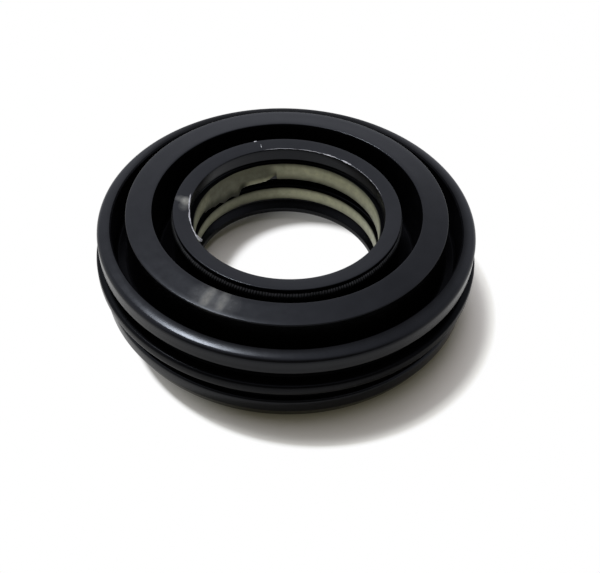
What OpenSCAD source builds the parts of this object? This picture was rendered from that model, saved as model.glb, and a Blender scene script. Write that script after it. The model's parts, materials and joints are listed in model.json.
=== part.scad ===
// Rotary shaft seal with a sprung lip, three inner lips and a ribbed outside.
// One moulded rubber body and the coil spring that sits round its lip.
// The seal stands on its back face at z = 0, with the shaft axis along +Z.

/* [Fits] */
// Diameter of the shaft that the lips run on
shaft_d = 25; // [22:0.5:28]
// How much smaller than the shaft the free lips are, on the diameter
lip_grip = 0.4; // [0.2:0.05:0.8]
// Diameter of the housing bore that the middle rib is pressed into
housing_d = 50; // [47:0.5:56]
// How much larger than the housing the free rib is, on the diameter
rib_press = 0.55; // [0.2:0.05:0.9]

/* [Heights] */
// Height from the back face to the top of the rim
body_h = 11.5; // [10.5:0.25:14]
// Height of the flat ring above the rim
ring_rise = 2; // [1:0.25:3]
// How far the top of the flat ring falls towards its outer edge
ring_fall = 0.3; // [0:0.05:0.6]
// How far the lip's flange lies below the top of the flat ring
flange_drop = 0.6; // [0.3:0.05:1]
// How far the top of the flange falls towards the bore
flange_dish = 0.23; // [0:0.01:0.5]

/* [Outside] */
// Height of the rib at the base, with its lead-in
base_rib_h = 3.45; // [3:0.05:3.8]
// How far the base rib stays inside the middle rib
base_rib_step = 0.75; // [0.3:0.05:0.9]
// Height of the tapered lead-in below the base rib
lead_in_h = 1.7; // [1:0.1:2.4]
// How far the lead-in narrows towards the back face
lead_in = 0.8; // [0.4:0.05:1]
// Height of the gap between the two lower ribs
rib_gap_h = 2.15; // [1.6:0.05:2.4]
// Height of the middle rib, which is the widest
mid_rib_h = 1.55; // [1.2:0.05:1.8]
// Depth of the gaps between the ribs, from the middle rib
rib_root_depth = 1.6; // [1.4:0.05:1.7]
// How far the side of a rib slopes over its depth
rib_flank = 0.15; // [0.05:0.05:0.25]
// Height of the rim's outer band
rim_h = 2.4; // [2:0.05:2.6]
// How far the rim stays inside the middle rib
rim_step = 0.47; // [0.2:0.01:0.6]
// Radial width of the rim's top
rim_w = 1.85; // [1.7:0.05:2.2]
// Rounding of the rim's upper edge
rim_round = 0.9; // [0.4:0.05:1]
// Chamfer of the rim's inner edge
rim_chamfer = 0.2; // [0.1:0.05:0.4]

/* [Face grooves] */
// Width of the groove between the rim and the flat ring
outer_groove_w = 2; // [1.2:0.1:2.6]
// Height of the outer groove's floor above the back face
outer_floor_h = 6.5; // [5.8:0.1:7.6]
// Width of the groove between the flat ring and the lip
inner_groove_w = 2.65; // [2:0.05:3]
// Height of the inner groove's floor above the back face
inner_floor_h = 5.5; // [4.6:0.1:6.4]
// How far each groove wall leans in towards the floor
groove_draft = 0.2; // [0:0.05:0.4]

/* [Lip and spring] */
// Radial width of the lip's flange, from the bore land
flange_w = 2.13; // [1.9:0.01:2.6]
// Thickness of the flange over the spring
flange_t = 0.6; // [0.4:0.05:0.9]
// How far the bore land stays clear of the inner lips' radius
land_relief = 0.5; // [0.2:0.05:0.8]
// Height of the bore land
land_h = 1.75; // [1.2:0.05:2.2]
// Outer diameter of the spring's coil
coil_d = 1.5; // [1.1:0.05:1.7]
// How far the coil stands out of its seat
coil_stand = 0.3; // [0.1:0.05:0.6]
// Clearance between the coil and its seat
seat_clearance = 0.03; // [0.02:0.01:0.08]

/* [Inner lips] */
// Height of the upper inner lip's tip below the bore land
tip_drop = 0.48; // [0.3:0.01:0.8]
// Height of the lower inner lip's tip above the back face
lower_tip_h = 6.1; // [5.5:0.1:6.5]
// Height of the running land on the upper inner lip
upper_run_h = 2.75; // [2:0.05:2.9]
// Height of the running land on the lower inner lip
lower_run_h = 2; // [1.4:0.05:2.2]
// Rounding of the lower end of each running land
run_round = 0.8; // [0.4:0.05:0.9]
// Height of the sloping root below each running land
lip_root_h = 0.8; // [0.6:0.05:1]
// Thickness of each inner lip at its tip
tip_t = 0.15; // [0.1:0.01:0.3]
// Depth of the pockets round the inner lips, from their radius
pocket_depth = 1.1; // [0.8:0.05:1.3]
// Depth of the pocket behind each tip
pocket_drop = 0.55; // [0.3:0.05:0.8]
// Height of the running land on the back lip
back_lip_h = 0.8; // [0.5:0.05:1]

/* [Back] */
// Depth of the recess that keeps the lips off the back face
recess_h = 1.5; // [0.8:0.1:1.8]
// Radial width of the foot ring round the recess
foot_w = 3.2; // [2.4:0.1:5]

/* [Edges] */
// Rounding of the larger corners
edge_round = 0.4; // [0.2:0.05:0.5]
// Rounding of the small corners
fine_round = 0.15; // [0.05:0.01:0.2]

/* [Hidden] */
$fn = 96;

// Straight steps in each rounded corner and in the spring seat
corner_steps = 3;
seat_steps = 10;

// Radii of the outside
mid_rib_r = (housing_d + rib_press) / 2;
base_rib_r = mid_rib_r - base_rib_step;
rib_root_r = mid_rib_r - rib_root_depth;
foot_r = base_rib_r - lead_in;
recess_r = foot_r - foot_w;
rim_r = mid_rib_r - rim_step;
rim_in_r = rim_r - rim_w;

// Radii of the inner lips, the bore and the lip's flange
lip_r = (shaft_d - lip_grip) / 2;
pocket_r = lip_r + pocket_depth;
land_r = lip_r + land_relief;
flange_r = land_r + flange_w;

// Radii of the flat ring, which fills the space between the two grooves
ring_in_r = flange_r + inner_groove_w;
ring_r = rim_in_r - outer_groove_w;

// Heights of the outside
gap_top_z = base_rib_h + rib_gap_h;
mid_rib_z = gap_top_z + mid_rib_h;
rim_z = body_h - rim_h;

// Heights of the face
ring_z = body_h + ring_rise;
flange_z = ring_z - flange_drop;
land_z = flange_z - flange_dish;
upper_tip_z = land_z - land_h - tip_drop;

// The spring and its seat share one centre
seat_r = coil_d / 2 + seat_clearance;
coil_r = flange_r + coil_stand - coil_d / 2;
coil_z = flange_z - flange_t - seat_r;

function unit(v) = v / norm(v);

// The signed angle, within half a turn, from direction a to direction b
function turn(a, b) = atan2(a.x * b.y - a.y * b.x, a * b);

// The corner at q, between its neighbours p and s, rounded to the radius r
function corner(p, q, s, r) =
    let (
        to_p = unit(p - q),
        to_s = unit(s - q),
        half = acos(to_p * to_s) / 2,
        centre = q + unit(to_p + to_s) * r / sin(half),
        first = q + to_p * r / tan(half) - centre,
        last = q + to_s * r / tan(half) - centre,
        start = atan2(first.y, first.x),
        sweep = turn(first, last)
    )
    [for (i = [0:corner_steps])
        centre + r * [cos(start + sweep * i / corner_steps), sin(start + sweep * i / corner_steps)]];

// An outline of [radius, height, rounding] points with its corners rounded
function rounded(outline) =
    let (n = len(outline))
    [for (i = [0:n - 1])
        let (
            before = outline[(i + n - 1) % n],
            here = outline[i],
            after = outline[(i + 1) % n],
            q = [here[0], here[1]]
        )
        each here[2] == 0 ? [q] : corner([before[0], before[1]], q, [after[0], after[1]], here[2])];

// Lead-in, base rib, middle rib and rim, from the back face up
function outside() = [
    [foot_r, 0, fine_round],
    [base_rib_r, lead_in_h, edge_round],
    [base_rib_r, base_rib_h, edge_round],
    [rib_root_r, base_rib_h + rib_flank, fine_round],
    [rib_root_r, gap_top_z - rib_flank, fine_round],
    [mid_rib_r, gap_top_z, edge_round],
    [mid_rib_r, mid_rib_z, edge_round],
    [rib_root_r, mid_rib_z + rib_flank, fine_round],
    [rib_root_r, rim_z - rib_flank, fine_round],
    [rim_r, rim_z, fine_round],
    [rim_r, body_h, rim_round],
    [rim_in_r + rim_chamfer, body_h, 0],
    [rim_in_r, body_h - rim_chamfer, 0],
];

// Outer groove, flat ring and inner groove, from the rim inwards
function face() = [
    [rim_in_r - groove_draft, outer_floor_h, edge_round],
    [ring_r + groove_draft, outer_floor_h, edge_round],
    [ring_r, ring_z - ring_fall, fine_round],
    [ring_in_r, ring_z, fine_round],
    [ring_in_r - groove_draft, inner_floor_h, edge_round],
    [flange_r + groove_draft, inner_floor_h, edge_round],
    [flange_r, coil_z - seat_r, 0],
];

// The half-round seat that holds the spring, from its lower edge to its upper edge
function spring_seat() = [
    for (i = [0:seat_steps])
        let (a = 270 - 180 * i / seat_steps)
        [coil_r + seat_r * cos(a), coil_z + seat_r * sin(a), 0]
];

// The flange over the spring and the bore land under it
function flange() = [
    [flange_r, coil_z + seat_r, 0],
    [flange_r, flange_z, fine_round],
    [land_r, land_z, fine_round],
    [land_r, land_z - land_h, 0],
    [pocket_r, land_z - land_h - rib_flank, fine_round],
];

// One inner lip: the pocket behind its tip, the running land and the sloping root
function inner_lip(tip_z, run_h) = [
    [pocket_r, tip_z - pocket_drop, fine_round],
    [lip_r + tip_t, tip_z, 0],
    [lip_r, tip_z, 0],
    [lip_r, tip_z - run_h, run_round],
    [pocket_r, tip_z - run_h - lip_root_h, edge_round],
];

// The back lip and the recess behind it, inside the foot ring
function back() = [
    [lip_r, recess_h + back_lip_h, fine_round],
    [lip_r, recess_h, fine_round],
    [recess_r, recess_h, edge_round],
    [recess_r, 0, fine_round],
];

module seal_body() {
    color([0.17, 0.175, 0.2])
        rotate_extrude()
            polygon(rounded(concat(
                outside(),
                face(),
                spring_seat(),
                flange(),
                inner_lip(upper_tip_z, upper_run_h),
                inner_lip(lower_tip_h, lower_run_h),
                back()
            )));
}

module garter_spring() {
    color([0.62, 0.63, 0.65])
        rotate_extrude()
            translate([coil_r, coil_z])
                circle(d = coil_d);
}

seal_body();
garter_spring();
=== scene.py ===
"""Dresses a rotary shaft seal: its moulded rubber body, garter spring, greased inner lips and studio."""

from __future__ import annotations

import json
import logging
import math
from dataclasses import dataclass
from enum import Enum
from typing import Callable, Sequence

import bpy
from mathutils import Matrix, Vector, noise

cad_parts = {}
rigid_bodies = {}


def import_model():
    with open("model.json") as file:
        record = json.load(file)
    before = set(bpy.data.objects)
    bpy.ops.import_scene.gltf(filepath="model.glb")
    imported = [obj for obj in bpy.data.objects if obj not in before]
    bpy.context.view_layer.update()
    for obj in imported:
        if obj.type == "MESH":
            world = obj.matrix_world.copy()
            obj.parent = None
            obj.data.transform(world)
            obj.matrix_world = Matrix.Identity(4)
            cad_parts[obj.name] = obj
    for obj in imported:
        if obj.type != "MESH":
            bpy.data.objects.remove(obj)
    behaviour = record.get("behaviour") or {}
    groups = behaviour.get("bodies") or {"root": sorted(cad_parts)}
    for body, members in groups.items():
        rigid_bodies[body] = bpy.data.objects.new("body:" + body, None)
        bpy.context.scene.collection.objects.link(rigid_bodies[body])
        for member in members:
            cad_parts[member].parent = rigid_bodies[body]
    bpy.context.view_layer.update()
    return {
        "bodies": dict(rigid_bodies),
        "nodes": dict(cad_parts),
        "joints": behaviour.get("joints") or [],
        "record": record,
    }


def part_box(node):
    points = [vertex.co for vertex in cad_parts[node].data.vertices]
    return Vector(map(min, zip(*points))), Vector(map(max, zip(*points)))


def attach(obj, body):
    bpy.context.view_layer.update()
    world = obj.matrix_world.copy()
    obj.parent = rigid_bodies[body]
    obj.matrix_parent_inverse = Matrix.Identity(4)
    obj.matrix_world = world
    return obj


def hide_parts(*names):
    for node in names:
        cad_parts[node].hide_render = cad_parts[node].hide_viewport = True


LOG = logging.getLogger("shaft_seal")

# One millimetre in the scene's metres
MM = 0.001

# The picture's frame, in pixels
FRAME_W = 600

# The one body of a part without joints
BODY = "root"

# A point of a half section: radius and height in millimetres
Point = tuple[float, float]

# A range: its start and its end
Span = tuple[float, float]

# A place in metres
Place = tuple[float, float, float]

# Red, green and blue
Colour = tuple[float, float, float]

# A shaping function: it takes an angle and a point, and gives the moved point
Shaper = Callable[[float, Point], Point]

# An input or an output of a node
Socket = bpy.types.NodeSocket

# A plain colour, or the socket that gives one
Paint = Colour | Socket

# The whole range of a share
UNIT = (0.0, 1.0)

# Where the upper lip's grease hangs down: angle in degrees, and height of its lower edge in millimetres
GREASE_HANG = ((97.5, 8.45), (100.3, 8.15), (105.7, 7.42), (112.0, 7.38), (119.9, 7.36), (122.9, 7.05),
               (125.3, 6.05), (130.0, 6.45), (133.4, 6.5), (136.1, 6.1), (138.7, 6.45), (140.6, 6.7),
               (145.6, 6.65), (147.6, 6.95), (154.6, 7.35), (157.0, 7.3))

# How much of the grease's colour shows over the bare rubber's round the lips: angle in degrees, and share of
# the full colour
GREASE_COLOUR_SHARE = ((0.0, 0.7), (50.0, 1.0), (72.0, 1.0), (90.0, 0.8), (108.0, 0.5), (125.0, 0.4), (145.0, 0.46),
                 (180.0, 0.55), (270.0, 0.6), (360.0, 0.7))

# Heights of the middle of the flat ring's face and of the lip's flange, in millimetres
RING_FACE_Z = 13.35
FLANGE_FACE_Z = 12.8

# Places of the colour sockets on a mix node: two inputs and the output
MIX_FIRST = 6
MIX_SECOND = 7
MIX_RESULT = 2

# Names of the numbers that meshes keep for their finishes
# The rubber's shine share, which paints shade and sheen into its reflections
PAINTED_SHINE = "open_face"
# The grease's cover, whose fade down each lip is also painted shade on the lip's lower face
FILM = "film"


class Slot(Enum):
    """The record's material slots."""

    RUBBER = "seal_rubber"
    STEEL = "spring_steel"
    GREASE = "lip_grease"


class LampRole(Enum):
    """What each studio lamp is for."""

    KEY = "key"
    FILL = "fill"


class Working(Enum):
    """How values are worked into one."""

    ADD = "ADD"
    MULTIPLY = "MULTIPLY"
    LARGEST = "MAXIMUM"


class Space(Enum):
    """Which coordinates a node reads."""

    PIECE = "Object"
    SKY = "Generated"


class Axis(Enum):
    """Which coordinate of a place is taken."""

    AWAY = "Y"
    UP = "Z"


@dataclass(frozen=True)
class Corner:
    """A corner of the body's half section, in millimetres.

    Attributes:
        r: Distance from the shaft axis.
        z: Height above the back face.
        fillet: Rounding radius, or 0 for a sharp corner.
    """

    r: float
    z: float
    fillet: float = 0.0


def smoothstep(low: float, high: float, value: float) -> float:
    """Eases from 0 at low to 1 at high.

    Args:
        low: Where the result leaves 0.
        high: Where the result reaches 1.
        value: The value to ease.

    Returns:
        A number from 0 to 1.
    """
    t = min(max((value - low) / (high - low), 0.0), 1.0)
    return t * t * (3.0 - 2.0 * t)


@dataclass(frozen=True)
class Stretch:
    """A stretch round the axis with soft ends, in degrees.

    Attributes:
        middle: Where it has its middle.
        half: How far from the middle it starts to fade.
        end: How far from the middle it ends.
    """

    middle: float
    half: float
    end: float

    def share(self, angle: float) -> float:
        """Gives 1 in the stretch and 0 outside it, at an angle in radians."""
        away = abs((math.degrees(angle) - self.middle + 180.0) % 360.0 - 180.0)
        return 1.0 - smoothstep(self.half, self.end, away)


def ripple(angle: float, waves: float, seed: float) -> float:
    """Noise round the axis that closes on itself.

    Args:
        angle: Angle round the axis, in radians.
        waves: How many bumps fit round the circle, roughly.
        seed: Picks one of many patterns.

    Returns:
        A number from about -1 to 1.
    """
    reach = waves / math.tau
    return noise.noise(Vector((math.cos(angle) * reach, math.sin(angle) * reach, seed)))


def between(table: Sequence[tuple[float, float]], place: float) -> float | None:
    """Reads a value between the rows of a table.

    Args:
        table: Places with their values, in order.
        place: Where to read.

    Returns:
        The value there, or None outside the table.
    """
    for (place_0, value_0), (place_1, value_1) in zip(table, table[1:]):
        if place_0 <= place < place_1:
            return value_0 + (value_1 - value_0) * (place - place_0) / (place_1 - place_0)
    return None


def fillet_points(before: Corner, here: Corner, after: Corner, steps: int) -> list[Point]:
    """Rounds one corner of an outline.

    Args:
        before: The corner ahead of it.
        here: The corner that is rounded.
        after: The corner that follows.
        steps: Straight steps in the round.

    Returns:
        The points of the round, or the corner itself if it is sharp.
    """
    corner = Vector((here.r, here.z))
    if here.fillet <= 0.0:
        return [(here.r, here.z)]
    to_before = (Vector((before.r, before.z)) - corner).normalized()
    to_after = (Vector((after.r, after.z)) - corner).normalized()
    half = math.acos(max(-1.0, min(1.0, to_before.dot(to_after)))) / 2.0
    centre = corner + (to_before + to_after).normalized() * (here.fillet / math.sin(half))
    first = corner + to_before * (here.fillet / math.tan(half)) - centre
    last = corner + to_after * (here.fillet / math.tan(half)) - centre
    start = math.atan2(first.y, first.x)
    sweep = math.atan2(first.x * last.y - first.y * last.x, first.dot(last))
    points = []
    for i in range(steps + 1):
        a = start + sweep * i / steps
        points.append((centre.x + here.fillet * math.cos(a), centre.y + here.fillet * math.sin(a)))
    return points


def rounded_outline(corners: Sequence[Corner], steps: int) -> list[Point]:
    """Rounds every corner of a closed outline.

    Args:
        corners: The outline's corners in order.
        steps: Straight steps in each round.

    Returns:
        The outline's points.
    """
    count = len(corners)
    points: list[Point] = []
    for i, here in enumerate(corners):
        points += fillet_points(corners[i - 1], here, corners[(i + 1) % count], steps)
    return points


def fine_outline(points: Sequence[Point], longest: float) -> list[Point]:
    """Splits the long sides of a closed outline.

    Args:
        points: The outline's points.
        longest: The longest side that is left, in millimetres.

    Returns:
        The outline with points added along its long sides.
    """
    fine: list[Point] = []
    for i, (r, z) in enumerate(points):
        next_r, next_z = points[(i + 1) % len(points)]
        pieces = max(1, math.ceil(math.hypot(next_r - r, next_z - z) / longest))
        for k in range(pieces):
            fine.append((r + (next_r - r) * k / pieces, z + (next_z - z) * k / pieces))
    return fine


def mesh_object(
    name: str,
    vertices: Sequence[Place],
    faces: Sequence[Sequence[int]],
    sharp_deg: float = 40.0,
) -> bpy.types.Object:
    """Makes a smooth-shaded mesh object.

    Args:
        name: The piece's name.
        vertices: Points in metres.
        faces: Point numbers of each face.
        sharp_deg: Edges that bend by more than this stay sharp.

    Returns:
        The new object, linked to the scene.
    """
    mesh = bpy.data.meshes.new(name)
    mesh.from_pydata(vertices, [], faces)
    mesh.polygons.foreach_set("use_smooth", [True] * len(mesh.polygons))
    mesh.set_sharp_from_angle(angle=math.radians(sharp_deg))
    mesh.update()
    piece = bpy.data.objects.new(name, mesh)
    bpy.context.scene.collection.objects.link(piece)
    return piece


def ring_grid(rows: int, around: int) -> list[tuple[int, int, int, int]]:
    """Numbers the faces of a grid that closes both ways.

    Args:
        rows: Points in each section.
        around: Sections round the axis.

    Returns:
        Four point numbers for each face, facing outwards for a section that runs anticlockwise.
    """
    faces = []
    for k in range(around):
        here = k * rows
        there = ((k + 1) % around) * rows
        for i in range(rows):
            j = (i + 1) % rows
            faces.append((here + i, there + i, there + j, here + j))
    return faces


def steps_round(count: int) -> list[float]:
    """Gives the angles of even steps round a circle, in radians."""
    return [math.tau * k / count for k in range(count)]


def place_at(angle: float, r: float, z: float) -> Place:
    """Turns an angle, and a radius and a height in millimetres, into a place."""
    return r * MM * math.cos(angle), r * MM * math.sin(angle), z * MM


def revolve(name: str, outline: Sequence[Point], around: int, shape: Shaper) -> bpy.types.Object:
    """Turns a closed half section about the shaft axis.

    Args:
        name: The piece's name.
        outline: The section's points in millimetres, anticlockwise.
        around: Steps round the axis.
        shape: Moves each point at its angle.

    Returns:
        The turned piece.
    """
    vertices: list[Place] = []
    for angle in steps_round(around):
        vertices += [place_at(angle, *shape(angle, point)) for point in outline]
    return mesh_object(name, vertices, ring_grid(len(outline), around))


def store(piece: bpy.types.Object, name: str, values: Sequence[float]) -> None:
    """Keeps one number for each point of a piece's mesh.

    Args:
        piece: The piece.
        name: The name that its finish reads the numbers by.
        values: The numbers, in the order of the points.
    """
    layer = piece.data.attributes.new(name, "FLOAT", "POINT")
    layer.data.foreach_set("value", values)


def seat_piece(piece: bpy.types.Object, material: bpy.types.Material) -> None:
    """Dresses a piece and fixes it to the body.

    Args:
        piece: The piece.
        material: Its finish.
    """
    piece.data.materials.clear()
    piece.data.materials.append(material)
    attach(piece, BODY)


@dataclass(frozen=True)
class ScuffAndHighlightMark:
    """A soft pale mark on a face that looks up, for scuffing and for painted highlight.

    Attributes:
        angle_deg: Angle round the axis.
        radius: Distance of its middle from the axis, in millimetres.
        half_length: Half its length along the radius.
        half_width: Half its width across.
        strength: How pale its middle is, from 0 to 1: how worn for scuffing, how bright for painted
            highlight.
        height: Height of the face that it lies on.
        half_depth: How far above and below that face it still marks.
        soft_edge: Share of the way to its middle over which it gains its strength.
    """

    angle_deg: float
    radius: float
    half_length: float
    half_width: float
    strength: float
    height: float
    half_depth: float = 0.8
    soft_edge: float = 0.7


@dataclass(frozen=True)
class Grain:
    """A noise of a real size.

    Attributes:
        size_mm: Size of one grain.
        detail: Octaves of finer noise.
        rough: Weight of the finer noise.
        span: Noise that counts as none and as full.
    """

    size_mm: float
    detail: float
    rough: float
    span: Span = UNIT


class NodeBench:
    """Adds and joins the nodes of a material or of the surroundings."""

    def __init__(self, owner: bpy.types.Material | bpy.types.World) -> None:
        """Takes what the nodes belong to."""
        owner.use_nodes = True
        self.tree = owner.node_tree

    def add(self, kind: str, **settings: object) -> bpy.types.Node:
        """Adds a node.

        Args:
            kind: The node's type.
            settings: Node properties and, by socket name with spaces as underscores, input values.

        Returns:
            The new node.
        """
        node = self.tree.nodes.new(kind)
        for key, value in settings.items():
            if hasattr(node, key):
                setattr(node, key, value)
            else:
                node.inputs[key.replace("_", " ")].default_value = value
        return node

    def join(self, source: Socket, target: Socket) -> None:
        """Links two sockets."""
        self.tree.links.new(source, target)

    def place(self, space: Space = Space.PIECE) -> Socket:
        """Gives coordinates: the piece's own in metres, or directions into the sky."""
        return self.add("ShaderNodeTexCoord").outputs[space.value]

    def part(self, vector: Socket, axis: Axis) -> Socket:
        """Takes one coordinate.

        Args:
            vector: All three of them.
            axis: The one to take.

        Returns:
            That coordinate.
        """
        node = self.add("ShaderNodeSeparateXYZ")
        self.join(vector, node.inputs[0])
        return node.outputs[axis.value]

    def stored(self, name: str) -> Socket:
        """Reads the number that the mesh keeps at each point."""
        return self.add("ShaderNodeAttribute", attribute_name=name).outputs["Fac"]

    def grain(self, grain: Grain) -> Socket:
        """Adds a noise.

        Args:
            grain: Its size and detail.

        Returns:
            The noise value, from 0 to 1.
        """
        scale = 1.0 / (grain.size_mm * MM)
        texture = self.add("ShaderNodeTexNoise", Scale=scale, Detail=grain.detail, Roughness=grain.rough)
        self.join(self.place(), texture.inputs["Vector"])
        return texture.outputs["Fac"]

    def spread(self, value: Socket, span: Span, results: Span, eased: bool = False) -> Socket:
        """Maps a value to another range, clamped.

        Args:
            value: The value.
            span: Where its range starts and ends.
            results: Result at the start and at the end.
            eased: Whether the result eases in and out.

        Returns:
            The mapped value.
        """
        node = self.add("ShaderNodeMapRange", interpolation_type="SMOOTHSTEP" if eased else "LINEAR")
        for name, number in zip(("From Min", "From Max", "To Min", "To Max"), (*span, *results)):
            node.inputs[name].default_value = number
        self.join(value, node.inputs["Value"])
        return node.outputs["Result"]

    def patches(self, grain: Grain, results: Span = UNIT) -> Socket:
        """Adds a noise and maps it to a range, from none to full."""
        return self.spread(self.grain(grain), grain.span, results)

    def blend(self, share: Socket, first: Paint, second: Paint) -> Socket:
        """Mixes two colours.

        Args:
            share: How much of the second colour.
            first: Colour at 0, or the socket that gives it.
            second: Colour at 1, or the socket that gives it.

        Returns:
            The mixed colour.
        """
        node = self.add("ShaderNodeMix", data_type="RGBA")
        for i, colour in ((MIX_FIRST, first), (MIX_SECOND, second)):
            if isinstance(colour, tuple):
                node.inputs[i].default_value = (*colour, 1.0)
            else:
                self.join(colour, node.inputs[i])
        self.join(share, node.inputs[0])
        return node.outputs[MIX_RESULT]

    def layer(self, share: Socket, first: Socket, second: Socket) -> Socket:
        """Mixes two shaders.

        Args:
            share: How much of the second shader.
            first: Shader at 0.
            second: Shader at 1.

        Returns:
            The mixed shader.
        """
        node = self.add("ShaderNodeMixShader")
        for i, source in enumerate((share, first, second)):
            self.join(source, node.inputs[i])
        return node.outputs[0]

    def combine(self, working: Working, *values: Socket) -> Socket:
        """Works two or more values into one.

        Args:
            working: What is done with them. A sum goes up to 1.
            values: The values.

        Returns:
            The result.
        """
        total, *rest = values
        for value in rest:
            node = self.add("ShaderNodeMath", operation=working.value, use_clamp=working is Working.ADD)
            self.join(total, node.inputs[0])
            self.join(value, node.inputs[1])
            total = node.outputs[0]
        return total

    def oval(self, mark: ScuffAndHighlightMark) -> Socket:
        """Adds a soft oval patch on a face that looks up.

        Args:
            mark: Where it is and how large.

        Returns:
            The mark's strength at its middle, and 0 outside it.
        """
        angle = math.radians(mark.angle_deg)
        frame = self.add("ShaderNodeMapping", vector_type="TEXTURE")
        frame.inputs["Location"].default_value = place_at(angle, mark.radius, mark.height)
        frame.inputs["Rotation"].default_value = (0.0, 0.0, angle)
        halves = (mark.half_length, mark.half_width, mark.half_depth)
        frame.inputs["Scale"].default_value = [half * MM for half in halves]
        self.join(self.place(), frame.inputs["Vector"])
        fade = self.add("ShaderNodeTexGradient", gradient_type="SPHERICAL")
        self.join(frame.outputs["Vector"], fade.inputs["Vector"])
        return self.spread(fade.outputs["Fac"], (0.0, mark.soft_edge), (0.0, mark.strength))

    def relief(self, height: Socket, depth_mm: float, over: Socket | None = None) -> Socket:
        """Adds a bump of a real depth.

        Args:
            height: Height from 0 to 1.
            depth_mm: Depth of the relief in millimetres.
            over: Another bump that this one lies on.

        Returns:
            The bumped normal.
        """
        node = self.add("ShaderNodeBump", Strength=1.0, Distance=depth_mm * MM)
        self.join(height, node.inputs["Height"])
        if over is not None:
            self.join(over, node.inputs["Normal"])
        return node.outputs["Normal"]


class FinishBench(NodeBench):
    """Adds and joins the nodes of one finish."""

    def __init__(self, name: str) -> None:
        """Starts a material with a Principled shader.

        Args:
            name: The material's name.
        """
        self.material = bpy.data.materials.new(name)
        super().__init__(self.material)
        self.shader = self.tree.nodes["Principled BSDF"]

    def even(self, socket: str, value: float | tuple[float, ...]) -> None:
        """Sets what is the same all over on a socket of the shader."""
        self.shader.inputs[socket].default_value = value

    def varied(self, socket: str, source: Socket) -> None:
        """Leads what varies over the surface to a socket of the shader."""
        self.join(source, self.shader.inputs[socket])


@dataclass(frozen=True)
class RubberFinish:
    """Black moulded rubber with a thin shine.

    Attributes:
        deep: Colour of the darker patches.
        worn: Colour of the paler patches.
        scuff_and_highlight_colour: Colour of the marks: the scuffing, and the painted highlight on the flat
            ring.
        tint: Colour of the shine.
        shine: Specular level of the open faces.
        groove_shine: Specular level deep in the grooves, kept low to paint shade there.
        roughness: Least and greatest roughness.
        scuff_roughness: Roughness of the marks.
        mottle: Noise of the paler patches.
        polish: Noise of the roughness.
        streaks: Noise that breaks the marks up.
        streak_span: Least and greatest strength that the streaks leave.
        pits: Noise of the fine pits.
        pit_depth_mm: Depth of the fine pits.
        waves: Noise of the slow unevenness of the moulded faces.
        wave_depth_mm: Depth of that unevenness.
        marks: Scuffing on the lip's flange, and scuffing with painted highlight on the flat ring.
    """

    deep: Colour = (0.002, 0.002, 0.0024)
    worn: Colour = (0.004, 0.004, 0.0048)
    scuff_and_highlight_colour: Colour = (0.25, 0.25, 0.235)
    tint: Colour = (0.86, 0.9, 1.0)
    shine: float = 0.2
    groove_shine: float = 0.02
    roughness: Span = (0.2, 0.26)
    scuff_roughness: float = 0.8
    mottle: Grain = Grain(2.4, 5.0, 0.6, (0.35, 0.7))
    polish: Grain = Grain(1.1, 6.0, 0.65, (0.3, 0.7))
    streaks: Grain = Grain(0.5, 4.0, 0.6, (0.3, 0.6))
    streak_span: Span = (0.55, 1.0)
    pits: Grain = Grain(0.16, 3.0, 0.6)
    pit_depth_mm: float = 0.0015
    waves: Grain = Grain(3.5, 2.0, 0.4)
    wave_depth_mm: float = 0.01
    marks: tuple[ScuffAndHighlightMark, ...] = (
        # Scuffing on the flat ring at the front left, made pale with painted highlight where the lamp's sheen
        # falls, and a broad patch of painted highlight round it
        ScuffAndHighlightMark(241.5, 19.0, 2.1, 0.8, 0.42, RING_FACE_Z),
        ScuffAndHighlightMark(242.0, 20.1, 0.8, 0.6, 0.22, RING_FACE_Z),
        ScuffAndHighlightMark(247.4, 19.0, 2.0, 0.75, 0.3, RING_FACE_Z),
        ScuffAndHighlightMark(247.8, 20.0, 0.7, 0.55, 0.15, RING_FACE_Z),
        ScuffAndHighlightMark(244.3, 19.2, 2.8, 3.6, 0.14, RING_FACE_Z),
        # Scuffing on the lip's flange beside the flash
        ScuffAndHighlightMark(174.5, 14.1, 1.0, 0.75, 0.3, FLANGE_FACE_Z),
        ScuffAndHighlightMark(175.5, 13.3, 0.9, 1.0, 0.8, FLANGE_FACE_Z),
        ScuffAndHighlightMark(180.0, 13.5, 0.85, 1.1, 0.2, FLANGE_FACE_Z),
    )

    def scuff_and_highlight_marks(self, bench: FinishBench) -> Socket:
        """Adds up the marks, scuffing and painted highlight, and breaks them into streaks.

        Args:
            bench: The material's node bench.

        Returns:
            How strongly the marks show, from 0 to 1.
        """
        whole = bench.combine(Working.ADD, *[bench.oval(mark) for mark in self.marks])
        return bench.combine(Working.MULTIPLY, whole, bench.patches(self.streaks, self.streak_span))

    def material(self) -> bpy.types.Material:
        """Builds the finish.

        Returns:
            The rubber material.
        """
        bench = FinishBench("satin_black_rubber")
        scuff_and_highlight = self.scuff_and_highlight_marks(bench)
        plain = bench.blend(bench.patches(self.mottle), self.deep, self.worn)
        # The base colour turns pale at the marks: scuffing, and painted highlight on the flat ring
        bench.varied("Base Color", bench.blend(scuff_and_highlight, plain, self.scuff_and_highlight_colour))
        haze = bench.spread(scuff_and_highlight, UNIT, (0.0, self.scuff_roughness))
        polish = bench.patches(self.polish, self.roughness)
        bench.varied("Roughness", bench.combine(Working.ADD, polish, haze))
        slow = bench.relief(bench.grain(self.waves), self.wave_depth_mm)
        bench.varied("Normal", bench.relief(bench.grain(self.pits), self.pit_depth_mm, slow))
        # Painted shade and sheen: the specular level follows the stored shine share, low in the grooves and
        # on the dim sides, and spread over the rim's top
        gloss = bench.spread(bench.stored(PAINTED_SHINE), UNIT, (self.groove_shine, self.shine))
        bench.even("Specular IOR Level", self.shine)
        bench.varied("Specular IOR Level", gloss)
        bench.even("Specular Tint", (*self.tint, 1.0))
        return bench.material


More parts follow.
